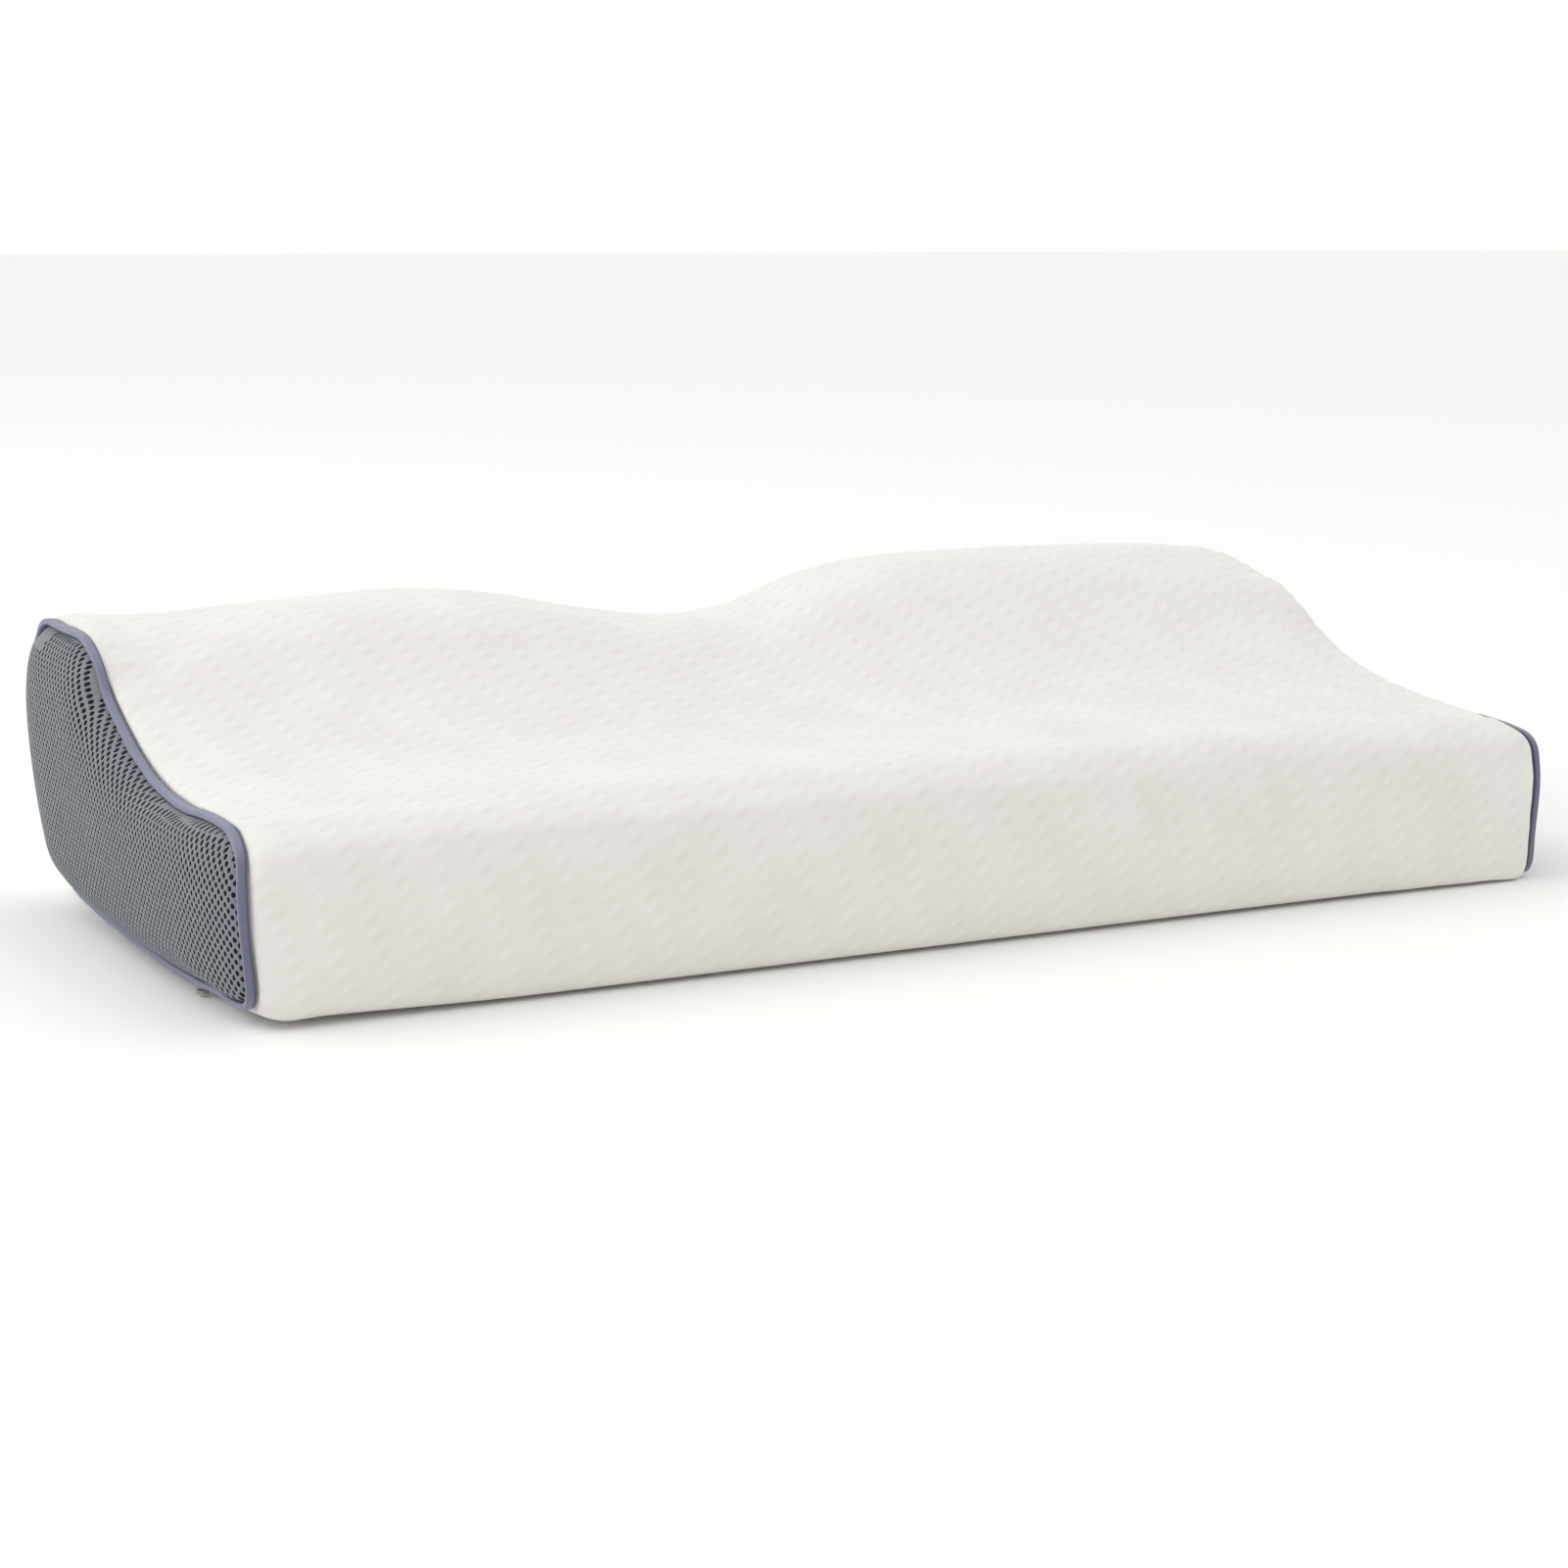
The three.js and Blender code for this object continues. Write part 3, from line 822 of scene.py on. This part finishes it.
def holePattern(edge, chance):
    # centres of the mesh's holes, and how large each one is
    pitches = meshCloth["pitchDeep"] / 2, meshCloth["pitchHigh"]
    columns, rows = np.ceil(np.abs(edge).max(axis=0) / pitches) + 1
    column, step = np.meshgrid(np.arange(-columns, columns + 1), np.arange(-2, rows + 1), indexing="ij")
    holes = np.stack([column, step + 0.5 * (column % 2)], axis=-1).reshape(-1, 2) * pitches
    holes += chance.normal(0, meshCloth["holeStray"], holes.shape)
    room = (clearOf(edge, holes) - meshCloth["plainRim"]) / (meshCloth["holeHigh"] / 2)
    hem = (holes > meshCloth["hemFrom"]).all(axis=1)
    kept = (room > meshCloth["smallestHole"]) & ~hem
    uneven = chance.normal(0, meshCloth["holeUneven"], len(room))
    uneven = uneven.clip(-meshCloth["unevenMost"], meshCloth["unevenMost"])
    sizes = np.minimum(room, 1) * (1 + uneven)
    return holes[kept], np.minimum(sizes, room)[kept]


def meshFace(edge, rims, count):
    # triangles of the flat cloth between its edge and the rims of its holes
    flat = np.concatenate([edge, rims])
    edges = [(k, (k + 1) % len(edge)) for k in range(len(edge))]
    for first in range(len(edge), len(flat), count):
        edges += [(first + k, first + (k + 1) % count) for k in range(count)]
    places = [Vector(place) for place in flat.tolist()]
    _, _, triangles, original, _, _ = delaunay_2d_cdt(places, edges, [], 1, 1e-5)
    holeOf = np.full(len(flat), -1)
    holeOf[len(edge):] = np.arange(len(rims)) // count
    faces = []
    for triangle in triangles:
        corner = [original[k][0] for k in triangle]
        owner = holeOf[corner]
        if not (owner[0] >= 0 and owner[0] == owner[1] == owner[2]):
            faces.append(corner)
    return faces


def meshEnd(name, side):
    at, _ = alongLine(seamLine(side), [(0, meshCloth["edgeStep"]), (knots, meshCloth["edgeStep"])])
    edge = inset(endSeam(side, at), tape["thickness"] / 2 + tape["gap"])
    flatEdge, pointsAt = swollenCloth(side, edge)
    holes, sizes = holePattern(flatEdge, np.random.default_rng(meshCloth["seed"] + side))
    count = meshCloth["holePoints"]
    around = np.arange(count) / count * 2 * math.pi
    lean = math.radians(meshCloth["holeLean"])
    deep = np.cos(around) * meshCloth["holeDeep"] / 2
    high = np.sin(around) * meshCloth["holeHigh"] / 2
    unit = np.column_stack([deep * math.cos(lean) + high * math.sin(lean),
                            high * math.cos(lean) - deep * math.sin(lean)])

    def ringAt(scale):
        return (holes[:, None] + unit[None] * (sizes * scale)[:, None, None]).reshape(-1, 2)

    rims = ringAt(1)
    faces = meshFace(flatEdge, rims, count)
    narrower = 1 - meshCloth["lipWidth"] / (meshCloth["holeDeep"] / 2)
    points = [
        pointsAt(np.concatenate([flatEdge, rims]), 0),
        pointsAt(ringAt(narrower), meshCloth["lipDrop"]),
        pointsAt(ringAt(narrower * meshCloth["pitTaper"]), meshCloth["pitDepth"]),
        pointsAt(holes, meshCloth["pitDepth"]),
    ]
    rim = len(edge)
    lip, floor, middles, _ = np.cumsum([len(each) for each in points])
    first = np.arange(len(holes))[:, None] * count
    here, there = first + np.arange(count), first + (np.arange(count) + 1) % count

    def wallFaces(upper, lower):
        quads = np.stack([here + upper, there + upper, there + lower, here + lower], axis=2)
        return quads.reshape(-1, 4).tolist()

    faces += wallFaces(rim, lip)
    # the holes' walls and floors take the painted shade material
    darkFrom = len(faces)
    faces += wallFaces(lip, floor)
    middle = middles + np.arange(len(holes))[:, None] + 0 * here
    faces += np.stack([here + floor, there + floor, middle], axis=2).reshape(-1, 3).tolist()
    darkTo = len(faces)

    # the turned rim and the plain back
    rings, back = domeRings(side, at, tape["gap"])
    closeEdge(points, faces, np.arange(len(edge)), rings, back)
    piece = makeMesh(name, np.concatenate(points), faces, meshMaterial, depthMaterial)
    slots = np.zeros(len(piece.data.polygons), np.int32)
    slots[darkFrom:darkTo] = 1
    piece.data.polygons.foreach_set("material_index", slots)
    print(name, "has", len(holes), "holes and", len(piece.data.polygons), "faces")
    return faceOutwards(piece), edge


def areaOf(line):
    y, z = line.T
    return abs((y * np.roll(z, -1) - np.roll(y, -1) * z).sum()) / 2


def tapeLine(side):
    # the end seam's line, its inward direction and the length along it
    at, length = alongLine(seamLine(side), [(0, tape["step"]), (knots, tape["step"])])
    line = endSeam(side, at)
    return line, inset(line, 1) - line, length


def tapeSection():
    # across the seam, out from the end, and how much painted shade it takes in a fold
    half, width, turned = tape["thickness"] / 2, tape["width"], tape["edgeRound"]
    outer, inner = ([(half * across, out, deep) for across, out, deep in tape[foot]]
                    for foot in ("outerFoot", "innerFoot"))
    section = outer + [(-half, width / 2, 0)]
    for middle, start in ((turned - half, math.pi), (half - turned, math.pi / 2)):
        for angle in np.linspace(start, start - math.pi / 2, tape["roundPoints"]):
            out = width - turned + turned * math.sin(angle)
            section.append((middle + turned * math.cos(angle), out, 0))
    return section + [(half, width / 2, 0)] + inner


def boundEdge(name, side):
    line, inward, length = tapeLine(side)
    section = tapeSection()
    swing = 1 + sum(share * np.sin(length * turn + start * side)
                    for share, turn, start in tape["waver"])
    # painted shade on the tape's outer side where it faces forwards, down the front of the end
    frontFacingShade = tape["frontFacingShade"] * np.maximum(inward[:, 0], 0) ** 2
    points, foldShade = [], []
    for across, out, deep in section:
        place = line + inward * across
        outX = side * (endX + seamSwell(side, *place.T) + tape["gap"] + out * swing)
        points.append(np.column_stack([outX, place]))
        foldShade.append(np.clip(deep + frontFacingShade * (across < 0), 0, 1))
    faces = ringFaces(len(section), len(line), closed=True)
    piece = makeMesh(name, np.concatenate(points), faces, tapeMaterial)
    piece.data.attributes.new("foldShade", "FLOAT", "POINT").data.foreach_set("value", np.concatenate(foldShade))
    clothMap = piece.data.uv_layers.new(name="cloth")
    acrossTape = np.arange(len(section)) * tape["mapStep"]
    flatPlace = np.column_stack([np.tile(length, len(section)), np.repeat(acrossTape, len(line))])
    clothMap.data.foreach_set("uv", (flatPlace[cornersOf(piece.data)] * mm).ravel())
    return faceOutwards(piece)


def stitchRow(name, side):
    # lockstitches along the tape's inner face
    line, inward, length = tapeLine(side)
    half = tape["thickness"] / 2
    stride = tape["stitch"] + tape["stitchGap"]
    sides = tape["stitchSides"]
    thick = tape["stitchThick"] / 2 * np.array(tape["stitchShape"])
    points, faces = [], []
    for start in np.arange(0, length[-1] - stride, stride):
        places = np.linspace(start, start + tape["stitch"], len(thick))
        y, z, inY, inZ = (np.interp(places, length, each) for each in (*line.T, *inward.T))
        outX = side * (endX + seamSwell(side, y, z) + tape["gap"] + tape["stitchOut"])
        first = len(points)
        for k in range(len(places)):
            for angle in np.arange(sides) * 2 * math.pi / sides:
                across = half - tape["stitchSunk"] + thick[k] * math.cos(angle)
                out = outX[k] + thick[k] * math.sin(angle)
                points.append((out, y[k] + inY[k] * across, z[k] + inZ[k] * across))
        faces += ringFaces(len(places), sides, first)
        last = first + sides * (len(places) - 1)
        faces += [[first + k for k in range(sides)], [last + k for k in range(sides)]]
    return faceOutwards(makeMesh(name, points, faces, threadMaterial))


# A mesh end's cut, with its seam allowance, in metres, and its area as a share of what the seam
# encloses.
flatCut = {"width": 0.262, "height": 0.126, "areaShare": 1.12}
for label, side in (("left", -1), ("right", 1)):
    panel, edge = meshEnd("mesh_end_" + label, side)
    binding = boundEdge("tape_" + label, side)
    stitches = stitchRow("tape_stitches_" + label, side)
    slots = ((panel, "mesh_cloth"), (binding, "binding_tape"), (stitches, "binding_tape"))
    for piece, slotName in slots:
        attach(piece, "root")
    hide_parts("end_panel_" + label)
    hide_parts("binding_" + label)
    areaOf(edge) * mm * mm * flatCut["areaShare"]


def pullTab():
    # a flat tab with a rounded tip, its rim softened and its upper side dished
    half, thickness, edge = pull["width"] / 2, pull["thickness"], pull["edge"]
    outline = [(0, -half), (0, half)]
    for angle in np.linspace(0, math.pi, pull["tipSteps"]):
        outline.append((half - pull["length"] - half * math.sin(angle), half * math.cos(angle)))
    outline = np.array(outline) + np.array(pull["place"][:2])
    centre = outline.mean(axis=0)
    smaller = 1 - edge / half
    levels = [(0, smaller), (edge, 1), (thickness - edge, 1), (thickness, smaller)]
    levels += [(thickness, pull["dish"]), (thickness - pull["dishDepth"], pull["dish"])]
    points = []
    for height, share in levels:
        ring = (outline - centre) * share + centre
        points.append(np.column_stack([ring, np.full(len(ring), pull["place"][2] + height)]))
    count = len(outline)
    faces = ringFaces(len(levels), count)
    faces += [list(range(count)), [(len(levels) - 1) * count + k for k in range(count)]]
    return faceOutwards(makeMesh("pull_tab", np.concatenate(points), faces, pullMaterial))


tab = pullTab()
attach(tab, "root")
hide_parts("pull_tip")
print("ends, tape and pull made")


studio = {
    "floor": "#fbfbfa",
    "floorSize": 14000,
    "floorDrop": 0.3,
    "worldFar": "#ffffff",     # behind the pillow and above it
    "worldNear": "#e2e0dc",    # in front of it
    "nearOver": (-0.75, 0.3),  # the one turns into the other over this depth of a unit sphere
    "world": 1.05,
    "keyColour": "#ffffff",
    "keyPower": 11,
    "keySize": 1.6,            # metres, as its place and the point it looks at
    "keyPlace": (-1.5, 0.5, 1.7),
    "keyAim": (0, 0, 0.05),
}


def studioFloor():
    # matt paper: no gloss, and it takes only a soft shadow
    material, tree, shader = startMaterial("pale_floor")
    shader.inputs["Base Color"].default_value = linear(studio["floor"])
    shader.inputs["Roughness"].default_value = 0.95
    shader.inputs["Specular IOR Level"].default_value = 0.1
    half, level = studio["floorSize"] / 2, -studio["floorDrop"]
    corners = [(-half, -half, level), (half, -half, level), (half, half, level), (-half, half, level)]
    makeMesh("floor", corners, [[0, 1, 2, 3]], material, smooth=False)


def paleWorld():
    # white behind the pillow and over it, a little dimmer and warmer in front of it
    world = bpy.data.worlds.new("pale_studio")
    world.use_nodes = True
    tree = world.node_tree
    tree.nodes.clear()
    place = addNode(tree, "ShaderNodeTexCoord")
    parts = addNode(tree, "ShaderNodeSeparateXYZ", links={"Vector": place.outputs["Generated"]})
    near, far = studio["nearOver"]
    nearness = addNode(tree, "ShaderNodeMapRange", {"From Min": near, "From Max": far},
                       {"Value": parts.outputs["Y"]})
    colour = addNode(tree, "ShaderNodeMix",
                     {"data_type": "RGBA",
                      6: linear(studio["worldNear"]), 7: linear(studio["worldFar"])},
                     {0: nearness.outputs["Result"]})
    glow = addNode(tree, "ShaderNodeBackground", {"Strength": studio["world"]},
                   {"Color": colour.outputs[2]})
    addNode(tree, "ShaderNodeOutputWorld", links={"Surface": glow.outputs["Background"]})
    scene.world = world


def keyLight():
    lamp = bpy.data.lights.new("key_light", "AREA")
    lamp.shape = "DISK"
    lamp.size = studio["keySize"]
    lamp.energy = studio["keyPower"]
    lamp.color = linear(studio["keyColour"])[:3]
    light = bpy.data.objects.new("key_light", lamp)
    light.location = studio["keyPlace"]
    ahead = Vector(studio["keyAim"]) - Vector(studio["keyPlace"])
    light.rotation_mode = "QUATERNION"
    light.rotation_quaternion = ahead.to_track_quat("-Z", "Y")
    scene.collection.objects.link(light)


studioFloor()
keyLight()
paleWorld()
scene.view_settings.view_transform = "Standard"

view = {
    "place": (-0.694, -1.232, 0.323),   # metres
    "yaw": 29.1,               # turned from +Y towards +X
    "pitch": 11.2,             # looking down
    "roll": -0.93,
    "focal": 75.1,
    "sensor": 36,              # its width
    "clip": (0.05, 60),        # metres
}


def makeCamera():
    yaw, pitch, roll = (math.radians(view[name]) for name in ("yaw", "pitch", "roll"))
    ahead = Vector((math.sin(yaw) * math.cos(pitch), math.cos(yaw) * math.cos(pitch),
                    -math.sin(pitch)))
    level = Vector((math.cos(yaw), -math.sin(yaw), 0))
    down = ahead.cross(level)
    right = math.cos(roll) * level + math.sin(roll) * down
    up = math.sin(roll) * level - math.cos(roll) * down
    lens = bpy.data.cameras.new("camera")
    lens.lens = view["focal"]
    lens.sensor_width = view["sensor"]
    lens.clip_start, lens.clip_end = view["clip"]
    camera = bpy.data.objects.new("camera", lens)
    turned = Matrix((right, up, -ahead)).transposed().to_4x4()
    camera.matrix_world = Matrix.Translation(view["place"]) @ turned
    scene.collection.objects.link(camera)
    scene.camera = camera


makeCamera()
print("floor, lights and camera placed")
